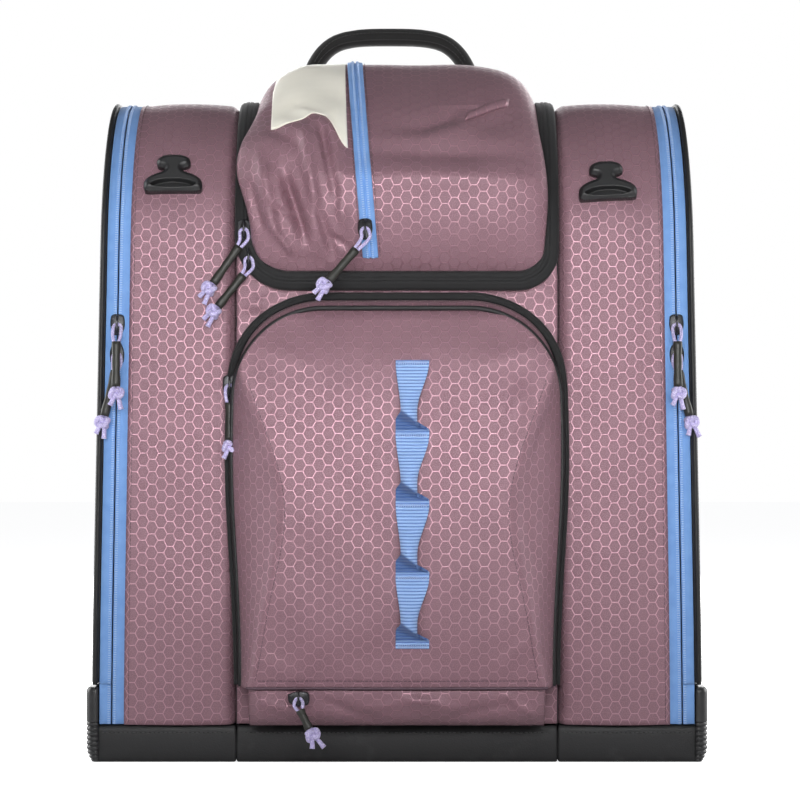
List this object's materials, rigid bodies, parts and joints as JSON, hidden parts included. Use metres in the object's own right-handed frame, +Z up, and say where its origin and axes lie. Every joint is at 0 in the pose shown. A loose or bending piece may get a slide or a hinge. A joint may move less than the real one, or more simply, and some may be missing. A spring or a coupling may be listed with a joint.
{
  "type": "skate bag",
  "caption": "Boxy boot and skate backpack with two zipped side compartments, a domed lid, a deep front pocket and a haul handle.",
  "frame": {"origin": "middle of the flat underside, on the surface the bag stands on", "axes": "+X to the right as seen from the front, the front faces -Y, +Z up"},
  "size_m": [0.472, 0.3909, 0.5935],
  "materials": {
    "ripstop": "hexagon ripstop nylon, coated",
    "tarpaulin": "coated tarpaulin",
    "lining": "woven lining",
    "blue_tape": "coil zip tape",
    "black_tape": "coil zip tape",
    "black_webbing": "woven webbing",
    "blue_webbing": "woven webbing",
    "moulded": "moulded acetal",
    "bumper": "moulded rubber",
    "reflective": "reflective film on fabric",
    "cord": "braided cord in a moulded sleeve",
    "slider_metal": "black enamel",
    "mesh": "spacer mesh over foam",
    "board": "polyethylene sheet"
  },
  "bodies": {
    "shell": {"left_base": "tarpaulin", "left_front_bumper": "bumper", "left_back_bumper": "bumper", "left_divider": "lining", "left_gusset": "ripstop", "left_zip_inner_half": "blue_tape", "left_hook": "moulded", "left_shoulder_strap": "mesh", "left_ladder_lock": "moulded", "left_strap_webbing": "black_webbing", "right_base": "tarpaulin", "right_front_bumper": "bumper", "right_back_bumper": "bumper", "right_divider": "lining", "right_gusset": "ripstop", "right_zip_inner_half": "blue_tape", "right_hook": "moulded", "right_shoulder_strap": "mesh", "right_ladder_lock": "moulded", "right_strap_webbing": "black_webbing", "centre_base": "tarpaulin", "floor_board": "board", "main_front_panel": "ripstop", "main_back_panel": "tarpaulin", "main_zip_body_half": "black_tape", "pocket_zip_tape": "black_tape", "lower_front_panel": "ripstop", "back_pad": "mesh"},
    "left_door_panel": {"left_door": "tarpaulin", "left_zip_door_half": "blue_tape"},
    "right_door_panel": {"right_door": "tarpaulin", "right_zip_door_half": "blue_tape"},
    "lid": {"lid_shell": "ripstop", "main_zip_lid_half": "black_tape", "lid_reflective_panel": "reflective", "goggle_zip": "blue_tape", "lid_fold_tab": "ripstop"},
    "pocket_front": {"front_pocket": "ripstop", "daisy_chain": "blue_webbing"},
    "haul_handle": {"handle_webbing": "black_webbing", "handle_grip": "black_webbing"},
    "left_upper_slider_body": {"left_upper_slider": "slider_metal"},
    "left_upper_pull_body": {"left_upper_pull": "cord"},
    "left_lower_slider_body": {"left_lower_slider": "slider_metal"},
    "left_lower_pull_body": {"left_lower_pull": "cord"},
    "right_upper_slider_body": {"right_upper_slider": "slider_metal"},
    "right_upper_pull_body": {"right_upper_pull": "cord"},
    "right_lower_slider_body": {"right_lower_slider": "slider_metal"},
    "right_lower_pull_body": {"right_lower_pull": "cord"},
    "main_left_slider_body": {"main_left_slider": "slider_metal"},
    "main_left_pull_body": {"main_left_pull": "cord"},
    "main_right_slider_body": {"main_right_slider": "slider_metal"},
    "main_right_pull_body": {"main_right_pull": "cord"},
    "goggle_slider_body": {"goggle_slider": "slider_metal"},
    "goggle_pull_body": {"goggle_pull": "cord"},
    "pocket_slider_body": {"pocket_slider": "slider_metal"},
    "pocket_pull_body": {"pocket_pull": "cord"},
    "lower_pocket_slider_body": {"lower_pocket_slider": "slider_metal"},
    "lower_pocket_pull_body": {"lower_pocket_pull": "cord"}
  },
  "joints": [
    {"name": "left_door_open", "type": "hinge", "parent": "shell", "child": "left_door_panel", "pos_m": [-0.226, 0, 0.03], "axis": [0, -1, 0], "range_deg": [0, 85]},
    {"name": "right_door_open", "type": "hinge", "parent": "shell", "child": "right_door_panel", "pos_m": [0.226, 0, 0.03], "axis": [0, 1, 0], "range_deg": [0, 85]},
    {"name": "lid_open", "type": "hinge", "parent": "shell", "child": "lid", "pos_m": [0, 0.105, 0.508], "axis": [-1, 0, 0], "range_deg": [0, 88]},
    {"name": "pocket_open", "type": "hinge", "parent": "shell", "child": "pocket_front", "pos_m": [0, -0.197, 0.06], "axis": [1, 0, 0], "range_deg": [0, 55]},
    {"name": "handle_flop", "type": "hinge", "parent": "shell", "child": "haul_handle", "pos_m": [-0.006, 0.153, 0.452], "axis": [-1, 0, 0], "range_deg": [0, 75]},
    {"name": "left_upper_zip", "type": "slide", "parent": "left_door_panel", "child": "left_upper_slider_body", "axis": [0.0172, 0, 0.9999], "range_m": [0, 0.054]},
    {"name": "left_lower_zip", "type": "slide", "parent": "left_door_panel", "child": "left_lower_slider_body", "axis": [-0.0172, 0, -0.9999], "range_m": [0, 0.22]},
    {"name": "right_upper_zip", "type": "slide", "parent": "right_door_panel", "child": "right_upper_slider_body", "axis": [-0.0172, 0, 0.9999], "range_m": [0, 0.054]},
    {"name": "right_lower_zip", "type": "slide", "parent": "right_door_panel", "child": "right_lower_slider_body", "axis": [0.0172, 0, -0.9999], "range_m": [0, 0.22]},
    {"name": "main_left_zip", "type": "hinge", "parent": "lid", "child": "main_left_slider_body", "pos_m": [0, -0.038, 0.394], "axis": [-1, 0, 0], "range_deg": [0, 80]},
    {"name": "main_right_zip", "type": "hinge", "parent": "lid", "child": "main_right_slider_body", "pos_m": [-0.0817, -0.15, 0.399], "axis": [0, -1, 0], "range_deg": [0, 20]},
    {"name": "goggle_zip_travel", "type": "slide", "parent": "lid", "child": "goggle_slider_body", "axis": [0, -0.1191, 0.9929], "range_m": [0, 0.034]},
    {"name": "pocket_zip_travel", "type": "slide", "parent": "pocket_front", "child": "pocket_slider_body", "axis": [0.0183, 0, -0.9998], "range_m": [0, 0.2]},
    {"name": "lower_pocket_zip_travel", "type": "slide", "parent": "shell", "child": "lower_pocket_slider_body", "axis": [1, 0, 0], "range_m": [0, 0.146]},
    {"name": "left_upper_pull_lift", "type": "hinge", "parent": "left_upper_slider_body", "child": "left_upper_pull_body", "pos_m": [-0.2113, -0.155, 0.332], "axis": [-1, 0, 0], "range_deg": [0, 110]},
    {"name": "left_lower_pull_lift", "type": "hinge", "parent": "left_lower_slider_body", "child": "left_lower_pull_body", "pos_m": [-0.21168, -0.155, 0.31], "axis": [-1, 0, 0], "range_deg": [0, 110]},
    {"name": "right_upper_pull_lift", "type": "hinge", "parent": "right_upper_slider_body", "child": "right_upper_pull_body", "pos_m": [0.2113, -0.155, 0.332], "axis": [-1, 0, 0], "range_deg": [0, 110]},
    {"name": "right_lower_pull_lift", "type": "hinge", "parent": "right_lower_slider_body", "child": "right_lower_pull_body", "pos_m": [0.21168, -0.155, 0.31], "axis": [-1, 0, 0], "range_deg": [0, 110]},
    {"name": "main_left_pull_lift", "type": "hinge", "parent": "main_left_slider_body", "child": "main_left_pull_body", "pos_m": [-0.1157, -0.155, 0.404], "axis": [-1, 0, 0], "range_deg": [0, 110]},
    {"name": "main_right_pull_lift", "type": "hinge", "parent": "main_right_slider_body", "child": "main_right_pull_body", "pos_m": [-0.11114, -0.155, 0.382], "axis": [-1, 0, 0], "range_deg": [0, 110]},
    {"name": "goggle_pull_lift", "type": "hinge", "parent": "goggle_slider_body", "child": "goggle_pull_body", "pos_m": [-0.0238, -0.18006, 0.4024], "axis": [-1, 0, 0], "range_deg": [0, 110]},
    {"name": "pocket_pull_lift", "type": "hinge", "parent": "pocket_slider_body", "child": "pocket_pull_body", "pos_m": [-0.1262, -0.1583, 0.286], "axis": [-1, 0, 0], "range_deg": [0, 110]},
    {"name": "lower_pocket_pull_lift", "type": "hinge", "parent": "lower_pocket_slider_body", "child": "lower_pocket_pull_body", "pos_m": [-0.073, -0.196, 0.053], "axis": [-1, 0, 0], "range_deg": [0, 110]}
  ],
  "couplings": [
    {"joint": "left_lower_pull_lift", "follows": "left_upper_pull_lift", "ratio": 1},
    {"joint": "right_lower_pull_lift", "follows": "right_upper_pull_lift", "ratio": 1}
  ]
}
